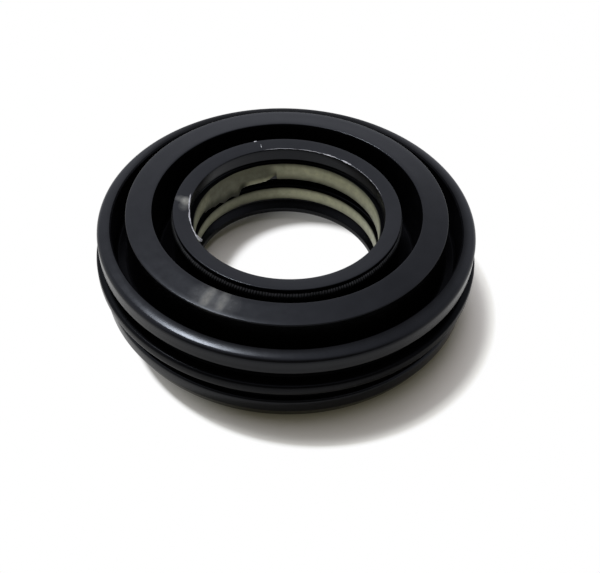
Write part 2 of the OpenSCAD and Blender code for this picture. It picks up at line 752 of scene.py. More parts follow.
@dataclass(frozen=True)
class PaleFlashAndGlintFinish:
    """Rubber that is rubbed and stretched pale, also used for the painted glints on the lip's edge.

    Attributes:
        pale: Colour of the palest spots: the most rubbed on the flash, the brightest on the painted glints.
        dull: Colour of the rest.
        pale_spots: Noise of the palest spots.
        roughness: Its roughness.
    """

    pale: Colour = (0.42, 0.42, 0.45)
    dull: Colour = (0.2, 0.2, 0.22)
    pale_spots: Grain = Grain(0.5, 4.0, 0.6, (0.35, 0.6))
    roughness: float = 0.5

    def material(self) -> bpy.types.Material:
        """Builds the finish.

        Returns:
            The pale rubber material.
        """
        bench = FinishBench("pale_torn_rubber")
        bench.varied("Base Color", bench.blend(bench.patches(self.pale_spots), self.dull, self.pale))
        bench.even("Roughness", self.roughness)
        return bench.material


@dataclass(frozen=True)
class SpringFinish:
    """Bright drawn spring wire with oily smears, with shade painted dark on it below the coil's upper edge.

    Attributes:
        shade_z: Height where the painted shade is at its darkest, in millimetres.
        shade_end_z: Height where the painted shade ends.
        bright: Colour of clean wire.
        dull: Colour of the painted shade and of the oily smears.
        smears: Noise of the oily smears on the clean wire.
        smear_share: How much the smears darken the wire, at most.
        roughness: Roughness of clean wire and of the darkened wire.
    """

    shade_z: float
    shade_end_z: float
    bright: Colour = (0.11, 0.11, 0.112)
    dull: Colour = (0.008, 0.008, 0.008)
    smears: Grain = Grain(1.6, 4.0, 0.6, (0.35, 0.65))
    smear_share: float = 0.3
    roughness: Span = (0.65, 0.8)

    def material(self) -> bpy.types.Material:
        """Builds the finish.

        Returns:
            The wire material.
        """
        bench = FinishBench("drawn_spring_wire")
        height = bench.part(bench.place(), Axis.UP)
        # Painted shade: the wire is darkened below the coil's upper edge by height alone
        painted_shade = bench.spread(height, (self.shade_z * MM, self.shade_end_z * MM), (1.0, 0.0))
        # The wire's dark share: that painted shade, with the oily smears added
        film = bench.combine(Working.ADD, painted_shade, bench.patches(self.smears, (0.0, self.smear_share)))
        bench.varied("Base Color", bench.blend(film, self.bright, self.dull))
        bench.varied("Roughness", bench.spread(film, UNIT, self.roughness))
        bench.even("Metallic", 1.0)
        return bench.material


@dataclass(frozen=True)
class GreaseFinish:
    """Pale olive grease, spread thin.

    Attributes:
        bare: Colour where the film runs out over the rubber, and where shade is painted on the lips' lower
            faces.
        thin: Colour where the film is thin.
        thick: Colour where it has gathered.
        streaks: Noise of the thin and thick streaks.
        roughness: Roughness of thin and of thick grease.
        ridges: Noise of the small ridges.
        ridge_depth_mm: Depth of the small ridges.
        bare_shine: Specular level where the film runs out.
        shine: Specular level of the grease.
    """

    bare: Colour = (0.006, 0.006, 0.004)
    thin: Colour = (0.42, 0.427, 0.294)
    thick: Colour = (0.6, 0.61, 0.42)
    streaks: Grain = Grain(0.9, 5.0, 0.6, (0.3, 0.7))
    roughness: Span = (0.5, 0.32)
    ridges: Grain = Grain(0.35, 4.0, 0.6)
    ridge_depth_mm: float = 0.02
    bare_shine: float = 0.06
    shine: float = 0.4

    def material(self) -> bpy.types.Material:
        """Builds the finish.

        Returns:
            The grease material.
        """
        bench = FinishBench("pale_lip_grease")
        film = bench.stored(FILM)
        streak = bench.patches(self.streaks)
        grease = bench.blend(streak, self.thin, self.thick)
        # The stored cover turns grease into bare rubber where the film runs out, and darker towards the lips'
        # lower faces as painted shade
        bench.varied("Base Color", bench.blend(film, self.bare, grease))
        bench.varied("Roughness", bench.spread(streak, UNIT, self.roughness))
        bench.varied("Normal", bench.relief(bench.grain(self.ridges), self.ridge_depth_mm))
        bench.even("Specular IOR Level", self.shine)
        bench.varied("Specular IOR Level", bench.spread(film, UNIT, (self.bare_shine, self.shine)))
        return bench.material


@dataclass
class SealSection:
    """The half section that the solids were turned from, in millimetres.

    The sizes without a value come from the frame, and the rest are the seal's own.
    """

    rib_r: float
    top_z: float
    lip_r: float
    coil_r: float
    coil_z: float
    coil_d: float
    ring_rise: float = 2.0
    ring_fall: float = 0.3
    flange_drop: float = 0.6
    flange_dish: float = 0.23
    base_rib_h: float = 3.45
    base_rib_step: float = 0.75
    lead_in_h: float = 1.7
    lead_in: float = 0.8
    rib_gap_h: float = 2.15
    mid_rib_h: float = 1.55
    rib_root_depth: float = 1.6
    rib_flank: float = 0.15
    rim_h: float = 2.4
    rim_step: float = 0.47
    rim_w: float = 1.85
    rim_round: float = 0.6
    rim_flat: float = 0.25
    crown_r: float = 4.2
    rim_chamfer: float = 0.2
    outer_groove_w: float = 2.0
    outer_floor_h: float = 6.5
    inner_groove_w: float = 2.65
    inner_floor_h: float = 5.5
    groove_draft: float = 0.2
    flange_w: float = 2.13
    land_relief: float = 0.5
    land_h: float = 1.75
    seat_clearance: float = 0.03
    tip_drop: float = 0.48
    lower_tip_h: float = 6.1
    upper_run_h: float = 2.75
    lower_run_h: float = 2.0
    run_round: float = 0.8
    lip_root_h: float = 0.8
    tip_t: float = 0.15
    pocket_depth: float = 1.1
    pocket_drop: float = 0.55
    back_lip_h: float = 0.8
    recess_h: float = 1.5
    foot_w: float = 3.2
    edge_round: float = 0.4
    fine_round: float = 0.15
    seat_steps: int = 10
    crown_tilts: tuple[float, ...] = (15.0, 12.5, 10.0, 7.5, 5.0, 2.5)

    @property
    def rim_r(self) -> float:
        """Outer radius of the rim."""
        return self.rib_r - self.rim_step

    @property
    def rim_in_r(self) -> float:
        """Inner radius of the rim."""
        return self.rim_r - self.rim_w

    @property
    def rib_root_r(self) -> float:
        """Radius of the gaps between the ribs."""
        return self.rib_r - self.rib_root_depth

    @property
    def ring_r(self) -> float:
        """Outer radius of the flat ring."""
        return self.rim_in_r - self.outer_groove_w

    @property
    def ring_in_r(self) -> float:
        """Inner radius of the flat ring."""
        return self.flange_r + self.inner_groove_w

    @property
    def rim_z(self) -> float:
        """Height of the rim's top."""
        return self.top_z - self.ring_rise

    @property
    def land_r(self) -> float:
        """Radius of the bore land."""
        return self.lip_r + self.land_relief

    @property
    def land_z(self) -> float:
        """Height of the bore land's upper edge."""
        return self.top_z - self.flange_drop - self.flange_dish

    @property
    def flange_r(self) -> float:
        """Outer radius of the lip's flange."""
        return self.land_r + self.flange_w

    def flange_face_z(self, r: float) -> float:
        """Height of the flange's dished face at a radius."""
        return self.land_z + self.flange_dish * (r - self.land_r) / self.flange_w

    @property
    def upper_tip_z(self) -> float:
        """Height of the upper inner lip's tip."""
        return self.land_z - self.land_h - self.tip_drop

    @property
    def pocket_r(self) -> float:
        """Radius of the pockets round the inner lips."""
        return self.lip_r + self.pocket_depth

    @property
    def base_rib_r(self) -> float:
        """Radius of the base rib."""
        return self.rib_r - self.base_rib_step

    @property
    def foot_r(self) -> float:
        """Outer radius of the foot ring, at the back face."""
        return self.base_rib_r - self.lead_in

    def rim_crown(self) -> list[Corner]:
        """Rounds the rim's shoulder and the gentle crown of its top.

        Returns:
            Their corners, from the outside in.
        """
        flat_r = self.rim_in_r + self.rim_flat
        tilts = [math.radians(deg) for deg in self.crown_tilts]
        crown = []
        for tilt in tilts:
            fall = self.crown_r * (1.0 - math.cos(tilt))
            crown.append(Corner(flat_r + self.crown_r * math.sin(tilt), self.rim_z - fall))
        shoulder_z = crown[0].z - (self.rim_r - crown[0].r) * math.tan(tilts[0])
        return [Corner(self.rim_r, shoulder_z, self.rim_round), *crown, Corner(flat_r, self.rim_z)]

    def outside(self) -> list[Corner]:
        """Lists the lead-in, the base rib, the middle rib and the rim.

        Returns:
            Their corners, from the back face up.
        """
        base_r = self.base_rib_r
        mid_r = self.rib_r
        root_r = self.rib_root_r
        rim_in = self.rim_in_r
        gap_top = self.base_rib_h + self.rib_gap_h
        mid_top = gap_top + self.mid_rib_h
        rim_low = self.rim_z - self.rim_h
        return [
            Corner(self.foot_r, 0.0, self.fine_round),
            Corner(base_r, self.lead_in_h, self.edge_round),
            Corner(base_r, self.base_rib_h, self.edge_round),
            Corner(root_r, self.base_rib_h + self.rib_flank, self.fine_round),
            Corner(root_r, gap_top - self.rib_flank, self.fine_round),
            Corner(mid_r, gap_top, self.edge_round),
            Corner(mid_r, mid_top, self.edge_round),
            Corner(root_r, mid_top + self.rib_flank, self.fine_round),
            Corner(root_r, rim_low - self.rib_flank, self.fine_round),
            Corner(self.rim_r, rim_low, self.fine_round),
            *self.rim_crown(),
            Corner(rim_in + self.rim_chamfer, self.rim_z),
            Corner(rim_in, self.rim_z - self.rim_chamfer),
        ]

    def face(self) -> list[Corner]:
        """Lists the outer groove, the flat ring and the inner groove.

        Returns:
            Their corners, from the rim inwards.
        """
        seat_low = self.coil_z - self.coil_d / 2 - self.seat_clearance
        return [
            Corner(self.rim_in_r - self.groove_draft, self.outer_floor_h, self.edge_round),
            Corner(self.ring_r + self.groove_draft, self.outer_floor_h, self.edge_round),
            Corner(self.ring_r, self.top_z - self.ring_fall, self.fine_round),
            Corner(self.ring_in_r, self.top_z, self.fine_round),
            Corner(self.ring_in_r - self.groove_draft, self.inner_floor_h, self.edge_round),
            Corner(self.flange_r + self.groove_draft, self.inner_floor_h, self.edge_round),
            Corner(self.flange_r, seat_low),
        ]

    def spring_seat(self) -> list[Corner]:
        """Lists the half-round seat of the spring.

        Returns:
            Its corners, from its lower edge to its upper edge.
        """
        seat_r = self.coil_d / 2 + self.seat_clearance
        corners = []
        for i in range(self.seat_steps + 1):
            a = math.radians(270.0 - 180.0 * i / self.seat_steps)
            corners.append(Corner(self.coil_r + seat_r * math.cos(a), self.coil_z + seat_r * math.sin(a)))
        return corners

    def flange(self) -> list[Corner]:
        """Lists the flange over the spring and the bore land under it.

        Returns:
            Their corners, from the spring seat down the bore.
        """
        seat_high = self.coil_z + self.coil_d / 2 + self.seat_clearance
        land_low = self.land_z - self.land_h
        return [
            Corner(self.flange_r, seat_high),
            Corner(self.flange_r, self.top_z - self.flange_drop, self.fine_round),
            Corner(self.land_r, self.land_z, self.fine_round),
            Corner(self.land_r, land_low),
            Corner(self.pocket_r, land_low - self.rib_flank, self.fine_round),
        ]

    def inner_lip(self, tip_z: float, run_h: float) -> list[Corner]:
        """Lists one inner lip: the pocket behind its tip, the running land and the sloping root.

        Args:
            tip_z: Height of its tip.
            run_h: Height of its running land.

        Returns:
            Its corners, from the pocket down.
        """
        return [
            Corner(self.pocket_r, tip_z - self.pocket_drop, self.fine_round),
            Corner(self.lip_r + self.tip_t, tip_z),
            Corner(self.lip_r, tip_z),
            Corner(self.lip_r, tip_z - run_h, self.run_round),
            Corner(self.pocket_r, tip_z - run_h - self.lip_root_h, self.edge_round),
        ]

    def back(self) -> list[Corner]:
        """Lists the back lip and the recess behind it, inside the foot ring.

        Returns:
            Their corners, down to the back face.
        """
        recess_r = self.foot_r - self.foot_w
        return [
            Corner(self.lip_r, self.recess_h + self.back_lip_h, self.fine_round),
            Corner(self.lip_r, self.recess_h, self.fine_round),
            Corner(recess_r, self.recess_h, self.edge_round),
            Corner(recess_r, 0.0, self.fine_round),
        ]

    def corners(self) -> list[Corner]:
        """Joins the whole section.

        Returns:
            Its corners, anticlockwise from the foot.
        """
        return (
            self.outside()
            + self.face()
            + self.spring_seat()
            + self.flange()
            + self.inner_lip(self.upper_tip_z, self.upper_run_h)
            + self.inner_lip(self.lower_tip_h, self.lower_run_h)
            + self.back()
        )


@dataclass
class PaintedShineMap:
    """How much of its shine the rubber shows from place to place, with sizes in millimetres: painted shade in
    the grooves, on the ribs, in the bore and on the dim sides, and painted sheen on the rim's top.

    Attributes:
        section: The body's half section.
        near: How close to a face's edge still counts as on the face.
        clear: How far off a wall still counts as on the wall.
        rim_band: Height of the rim's top with its shoulder.
        groove_fade: Depths in a groove where the painted shade starts to take the shine and takes all of it.
        rim_edge: Share on the rim's inner edge, where the painted sheen of the rim's top is least.
        rim_reach: How far from that edge the rim's top has all of its shine.
        wide: Where on the rim's top the painted sheen is wider, at the left.
        wide_start: How much further in it starts there.
        wide_reach: How much sooner it is whole there.
        side_low: Share at the foot of the rim's side.
        side_gain: What the rim's side gains towards its top.
        side_rise: Height over which it gains that.
        mid_rib: Share of the middle rib and its gaps.
        base_rib: Share of the base rib.
        back_lip: Share below the lower inner lip.
        front: Where shade is painted on the outside, at the right front.
        top_loss: What the rim's top loses there.
        side_loss: What the rim's side loses there.
        mid_loss: What the middle rib loses there.
        base_loss: What the base rib loses there.
        far_rim: Where shade is painted on the rim's top, at the back.
        far_loss: What it loses there.
        ring_right: Where shade is painted on the flat ring, at the right.
        ring_loss: What it loses there.
    """

    section: SealSection
    near: float = 0.01
    clear: float = 0.05
    rim_band: float = 0.45
    groove_fade: Span = (0.2, 1.6)
    rim_edge: float = 0.1
    rim_reach: float = 1.3
    wide: Stretch = Stretch(192.0, 28.0, 58.0)
    wide_start: float = 0.9
    wide_reach: float = 0.5
    side_low: float = 0.45
    side_gain: float = 0.45
    side_rise: float = 1.8
    mid_rib: float = 0.2
    base_rib: float = 0.75
    back_lip: float = 0.4
    front: Stretch = Stretch(312.0, 8.0, 38.0)
    top_loss: float = 0.35
    side_loss: float = 0.5
    mid_loss: float = 0.95
    base_loss: float = 0.3
    far_rim: Stretch = Stretch(95.0, 25.0, 65.0)
    far_loss: float = 0.95
    ring_right: Stretch = Stretch(335.0, 20.0, 65.0)
    ring_loss: float = 0.3

    def openness(self, angle: float, point: Point) -> float:
        """Tells how much shine the painted shade and sheen leave at a place, by its place in the section.

        Args:
            angle: Angle round the axis.
            point: The point's radius and height.

        Returns:
            1 on the outer faces, and 0 deep in a groove.
        """
        r, z = point
        section = self.section
        rim_low = section.rim_z - section.rim_h
        if r > section.rim_in_r - self.near and z > section.rim_z - self.rim_band:
            wide = self.wide.share(angle)
            reach = (-self.wide_start * wide, self.rim_reach - self.wide_reach * wide)
            return self.rim_edge + (1.0 - self.rim_edge) * smoothstep(*reach, r - section.rim_in_r)
        if r > section.rib_root_r + self.clear:
            if z > rim_low - section.rib_flank:
                return self.side_low + self.side_gain * smoothstep(0.0, self.side_rise, z - rim_low)
            return self.mid_rib if z > section.base_rib_h + section.rib_flank else self.base_rib
        if r < section.pocket_r + self.clear and z < section.lower_tip_h - section.lower_run_h:
            return self.back_lip
        if r > section.rim_in_r - section.groove_draft - self.clear and z < rim_low:
            return 0.0
        if section.ring_r - self.near < r < section.rim_in_r + self.near:
            return 1.0 - smoothstep(*self.groove_fade, section.rim_z - z)
        if section.flange_r - self.near < r < section.ring_in_r + self.near:
            return 1.0 - smoothstep(*self.groove_fade, section.top_z - section.flange_drop - z)
        return 1.0

    def painted_shade_loss(self, angle: float, point: Point) -> float:
        """Tells how much of its shine painted shade takes from the rubber at a place.

        Args:
            angle: Angle round the axis.
            point: The point's radius and height.

        Returns:
            0 where it keeps its shine, and 1 where it loses all of it.
        """
        r, z = point
        section = self.section
        if r > section.rim_in_r - self.near:
            front = self.front.share(angle)
            if z > section.rim_z - self.rim_band:
                return max(self.top_loss * front, self.far_loss * self.far_rim.share(angle))
            if z > section.rim_z - section.rim_h - section.rib_flank:
                return self.side_loss * front
            return front * (self.mid_loss if z > section.base_rib_h + section.rib_flank else self.base_loss)
        if section.ring_in_r - self.near < r < section.ring_r + self.near:
            return self.ring_loss * self.ring_right.share(angle)
        return 0.0

    def share(self, angle: float, point: Point) -> float:
        """Gives the share of the shine that a place shows."""
        return self.openness(angle, point) * (1.0 - self.painted_shade_loss(angle, point))


@dataclass
class SealBody:
    """The moulded rubber body, with sizes in millimetres.

    Attributes:
        section: Its half section.
        around: Steps round the axis.
        corner_steps: Straight steps in each rounded corner.
        longest_side: Longest straight side of the section.
        unevenness: How far moulded faces wander up and down.
        side_share: How much of that they wander sideways.
        side_waves: Bumps round the axis of the wandering sideways.
        fall_waves: Bumps round the axis of the wandering down.
        fall_seed: Picks the pattern of the wandering down.
        still_foot: Height of the foot that keeps its exact size.
        still_rib: Depth of the widest rib that keeps its exact size.
    """

    section: SealSection
    around: int = 300
    corner_steps: int = 5
    longest_side: float = 0.7
    unevenness: float = 0.03
    side_share: float = 0.5
    side_waves: float = 9.0
    fall_waves: float = 7.0
    fall_seed: float = 3.0
    still_foot: float = 0.5
    still_rib: float = 0.1

    def shape(self, angle: float, point: Point) -> Point:
        """Moves a point of the section by the moulding's slow unevenness.

        Args:
            angle: Angle round the axis.
            point: The point's radius and height.

        Returns:
            The moved radius and height.
        """
        r, z = point
        if z < self.still_foot or r > self.section.rib_r - self.still_rib:
            return point
        sideways = self.unevenness * ripple(angle, self.side_waves, r) * self.side_share
        fall = self.unevenness * abs(ripple(angle, self.fall_waves, self.fall_seed + r))
        return r + sideways, z - fall

    def build(self) -> bpy.types.Object:
        """Turns the section into the body's mesh.

        Returns:
            The body, which stands for its solid.
        """
        rounded = rounded_outline(self.section.corners(), self.corner_steps)
        outline = fine_outline(rounded, self.longest_side)
        body = revolve("rubber_body", outline, self.around, self.shape)
        # Stores at each point the share of shine that the painted shade and sheen leave
        shine = PaintedShineMap(self.section)
        angles = steps_round(self.around)
        store(body, PAINTED_SHINE, [shine.share(angle, point) for angle in angles for point in outline])
        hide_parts("seal_body")
        return body

    def dress(self, body: bpy.types.Object) -> None:
        """Gives the body its rubber finish."""
        seat_piece(body, RubberFinish().material())


@dataclass
class GarterSpring:
    """The closely wound spring in the seat round the lip.

    Attributes:
        coil_r: Radius of the coil's middle line, in millimetres.
        coil_z: Height of the coil's middle line.
        coil_d: Outer diameter of the coil.
        wire_d: Diameter of the wire.
        pitch_share: Distance between turns, in wire diameters.
        turn_steps: Points in each turn of wire.
        wire_sides: Sides of the wire.
        shade_rise: Height above the middle line up to which the painted shade is darkest, in coil diameters.
        shade_end_rise: Height above the middle line where the painted shade ends, in coil diameters.
    """

    coil_r: float
    coil_z: float
    coil_d: float
    wire_d: float = 0.34
    pitch_share: float = 1.03
    turn_steps: int = 14
    wire_sides: int = 6
    shade_rise: float = 0.1
    shade_end_rise: float = 0.35

    def build(self) -> bpy.types.Object:
        """Winds the wire into a closed coil.

        Returns:
            The spring, which stands for its solid.
        """
        turns = math.floor(math.tau * self.coil_r / (self.wire_d * self.pitch_share))
        count = turns * self.turn_steps
        small_r = (self.coil_d - self.wire_d) / 2
        vertices = []
        for k, angle in enumerate(steps_round(count)):
            wind = math.tau * k / self.turn_steps
            outward = Vector((math.cos(angle), math.sin(angle), 0.0))
            spoke = outward * math.cos(wind) + Vector((0.0, 0.0, math.sin(wind)))
            along = Vector((-math.sin(angle), math.cos(angle), 0.0))
            middle = outward * self.coil_r + Vector((0.0, 0.0, self.coil_z)) + spoke * small_r
            for a in steps_round(self.wire_sides):
                point = middle + (spoke * math.cos(a) + along * math.sin(a)) * (self.wire_d / 2)
                vertices.append(tuple(point * MM))
        faces = ring_grid(self.wire_sides, count)
        spring = mesh_object("garter_spring_coil", vertices, faces, sharp_deg=180.0)
        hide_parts("garter_spring")
        return spring

    def dress(self, spring: bpy.types.Object) -> None:
        """Gives the spring its wire finish."""
        shade_z, shade_end_z = [self.coil_z + self.coil_d * rise for rise in (self.shade_rise, self.shade_end_rise)]
        seat_piece(spring, SpringFinish(shade_z, shade_end_z).material())


@dataclass(frozen=True)
class Smear:
    """How grease hangs free below a lip. Shares run down from the lip's tip to the smear's lower edge.

    Attributes:
        edge: Angles in degrees, each with the height of the lower edge in millimetres.
        notches: Depth in millimetres, and bumps round the axis, of the notches in that edge.
        place: Where the smear shows.
        cover: How well it covers.
        gathered: Shares between which it gathers towards its lower edge.
        gathered_cover: How much better it covers there.
        torn: Angles in degrees between which it turns from whole to torn.
        torn_thin: Shares between which the torn smear thins out.
        torn_loss: How much of its cover the torn smear loses.
        swell: How far it swells before its lower edge, in millimetres.
        swell_start: Shares between which it swells.
        swell_end: Shares between which the swelling ends.
    """

    edge: tuple[tuple[float, float], ...]
    notches: tuple[tuple[float, float], ...] = ((0.12, 160.0), (0.08, 420.0))
    place: Stretch = Stretch(126.5, 21.5, 29.5)
    cover: float = 0.27
    gathered: Span = (0.68, 0.85)
    gathered_cover: float = 0.46
    torn: Span = (116.0, 122.0)
    torn_thin: Span = (0.55, 0.95)
    torn_loss: float = 0.85
    swell: float = 0.14
    swell_start: Span = (0.7, 0.93)
    swell_end: Span = (0.95, 1.0)

    def lower_edge(self, angle: float, seed: float) -> float | None:
        """Finds the lower edge of the smear.

        Args:
            angle: Angle round the axis.
            seed: Picks the pattern of the notches.

        Returns:
            The edge's height in millimetres, or None where nothing hangs.
        """
        edge = between(self.edge, math.degrees(angle))
        if edge is None:
            return None
        for i, (depth, waves) in enumerate(self.notches):
            edge += depth * ripple(angle, waves, seed + i)
        return edge

    def covered(self, angle: float, share: float) -> float:
        """Tells how well the smear covers.

        Args:
            angle: Angle round the axis.
            share: Share of the way down.

        Returns:
            How well it covers there, from 0 to 1.
        """
        torn = smoothstep(*self.torn, math.degrees(angle))
        cover = self.cover + self.gathered_cover * smoothstep(*self.gathered, share) * (1.0 - torn)
        return cover * (1.0 - self.torn_loss * torn * smoothstep(*self.torn_thin, share))

    def swelling(self, share: float) -> float:
        """Gives how far the smear swells at a share of the way down, in millimetres."""
        return self.swell * smoothstep(*self.swell_start, share) * (1.0 - smoothstep(*self.swell_end, share))


@dataclass
class GreaseFilm:
    """A film of grease on one inner lip, with sizes in millimetres.

    Attributes:
        name: The piece's name.
        section: The body's half section.
        finish: The grease material.
        tip_z: Height of the lip's tip.
        run_h: Height of the lip's running land.
        reach: How far down the lip the film goes.
        seed: Picks its pattern.
        smear: How it hangs free below the lip, or None where it keeps to the lip.
        ragged: How much its lower edge wanders.
        wander: Weight, bumps round the axis and pattern of that wandering.
        thickness: Its greatest thickness.
        fullness: How far up its arch the film starts at the tip.
        arch: Power of the arch, lower for a fuller film.
        lumps: How much the thickness varies.
        lump_waves: Bumps round the axis of that variation.
        lump_run: How fast the lumps change down the lip.
        bed: How deep its underside sits in the rubber.
        gain: Shares of the way down between which it comes to cover.
        fade: Shares of the way down between which it runs out, which also paints shade darker towards the
            lip's lower face.
        around: Steps round the axis.
        rows: Steps down the lip.
        round_steps: Straight steps in each round of the lip's face.
        below: Length of the straight pocket wall below the lip's root.
    """

    name: str
    section: SealSection
    finish: bpy.types.Material
    tip_z: float
    run_h: float
    reach: float
    seed: float
    smear: Smear | None = None
    ragged: float = 0.15
    wander: tuple[tuple[float, float, float], ...] = ((1.0, 12.0, 0.0), (0.5, 47.0, 5.0))
    thickness: float = 0.07
    fullness: float = 0.02
    arch: float = 0.5
    lumps: float = 0.35
    lump_waves: float = 31.0
    lump_run: float = 2.0
    bed: float = 0.04
    gain: Span = (-0.1, 0.22)
    fade: Span = (0.42, 1.0)
    around: int = 480
    rows: int = 16
    round_steps: int = 6
    below: float = 1.0

    def lip_face(self) -> list[Point]:
        """Follows the lip's inner face.

        Returns:
            Its points, from the tip down to the root.
        """
        _, _, tip, run_end, root = self.section.inner_lip(self.tip_z, self.run_h)
        wall = Corner(self.section.pocket_r, root.z - self.below)
        face = [(tip.r, tip.z)]
        face += fillet_points(tip, run_end, root, self.round_steps)
        face += fillet_points(run_end, root, wall, self.round_steps)
        return face

    def face_at(self, face: Sequence[Point], distance: float) -> tuple[Point, Point]:
        """Finds a place on the lip's inner face.

        Args:
            face: The face's points.
            distance: Distance from the tip along the face.

        Returns:
            The point, and the direction that points away from the rubber.
        """
        left = distance
        for here, there in zip(face, face[1:]):
            along = (there[0] - here[0], there[1] - here[1])
            length = math.hypot(*along)
            if left <= length or there == face[-1]:
                break
            left -= length
        share = left / length
        point = (here[0] + along[0] * share, here[1] + along[1] * share)
        return point, (along[1] / length, -along[0] / length)

    def lift(self, angle: float, share: float) -> float:
        """Finds the film's thickness.

        Args:
            angle: Angle round the axis.
            share: Share of the way down.

        Returns:
            How far the film stands off the rubber.
        """
        rise = min(share * (1.0 + self.fullness) + self.fullness, 1.0)
        lump = self.lumps * ripple(angle, self.lump_waves, self.seed + share * self.lump_run)
        return self.thickness * math.sin(math.pi * rise) ** self.arch * (1.0 + lump)

    def column(self, face: Sequence[Point], angle: float) -> tuple[list[Point], list[Point], list[float]]:
        """Lays the film down the lip at one angle.

        Args:
            face: The lip's inner face.
            angle: Angle round the axis.

        Returns:
            The points of its skin, the points under it, and how well it covers at each.
        """
        low = None if self.smear is None else self.smear.lower_edge(angle, self.seed)
        amount = between(GREASE_COLOUR_SHARE, math.degrees(angle)) or 0.0
        wander = sum(weight * ripple(angle, waves, self.seed + seed) for weight, waves, seed in self.wander)
        end = self.reach + self.ragged * wander if low is None else self.tip_z - low
        skin: list[Point] = []
        under: list[Point] = []
        cover: list[float] = []
        for i in range(self.rows + 1):
            share = i / self.rows
            (r, z), (away_r, away_z) = self.face_at(face, end * share)
            lift = self.lift(angle, share)
            # The cover rises near the tip and eases out down the lip: the film running out, and painted shade
            # where the lip's face turns down
            covered = amount * smoothstep(*self.gain, share) * (1.0 - smoothstep(*self.fade, share))
            if low is not None:
                r, z, away_r, away_z = self.section.lip_r, self.tip_z - end * share, -1.0, 0.0
                lift += self.smear.swelling(share)
                covered += (self.smear.covered(angle, share) - covered) * self.smear.place.share(angle)
            skin.append((r + away_r * lift, z + away_z * lift))
            under.append((r - away_r * self.bed, z - away_z * self.bed))
            cover.append(covered)
        return skin, under, cover

    def build(self) -> bpy.types.Object:
        """Lays the film on the lip as a closed skin.

        Returns:
            The film.
        """
        face = self.lip_face()
        vertices: list[Place] = []
        cover: list[float] = []
        for angle in steps_round(self.around):
            skin, under, shares = self.column(face, angle)
            vertices += [place_at(angle, r, z) for r, z in skin + under[::-1]]
            cover += shares + shares[::-1]
        faces = ring_grid(2 * (self.rows + 1), self.around)
        film = mesh_object(self.name, vertices, faces, sharp_deg=70.0)
        store(film, FILM, cover)
        return film

    def dress(self, film: bpy.types.Object) -> None:
        """Gives the film its grease finish."""
        seat_piece(film, self.finish)


@dataclass(frozen=True)
class Sliver:
    """A thin pale strip on the lip's face: torn or rubbed rubber, and the painted glints along its edge.

    Attributes:
        start: Angle in degrees and radius in millimetres where it starts.
        end: Angle and radius where it ends.
        half_width: Half its width in the middle.
        half_height: Half its height in the middle.
        drop: How far its end hangs below its start.
    """

    start: tuple[float, float]
    end: tuple[float, float]
    half_width: float
    half_height: float = 0.02
    drop: float = 0.0


# The torn flash on the left of the lip's edge, painted glints along its edge at the back, and a nick beside
# them
FLASH_AND_GLINTS = (
    Sliver((169.0, 13.06), (184.0, 12.76), 0.1),
    Sliver((182.0, 12.77), (196.5, 12.76), 0.09),
    Sliver((194.0, 12.76), (212.0, 12.74), 0.06),
    Sliver((203.0, 12.8), (209.0, 12.15), 0.06, 0.03, 0.5),
    Sliver((206.5, 12.8), (210.5, 12.35), 0.06, 0.03, 0.35),
    # Painted glints: pale strips along the lip's edge at the back, where the lamp's light catches it
    Sliver((106.0, 12.9), (83.0, 12.88), 0.035),
    Sliver((84.0, 12.88), (68.0, 12.88), 0.045),
    Sliver((69.0, 12.9), (59.5, 12.9), 0.1),
    Sliver((55.5, 12.92), (48.0, 12.9), 0.13),
    Sliver((49.0, 12.88), (14.0, 12.88), 0.022),
    Sliver((109.8, 14.8), (108.0, 14.82), 0.1),
    Sliver((106.8, 13.4), (106.5, 14.1), 0.06, 0.012),
)


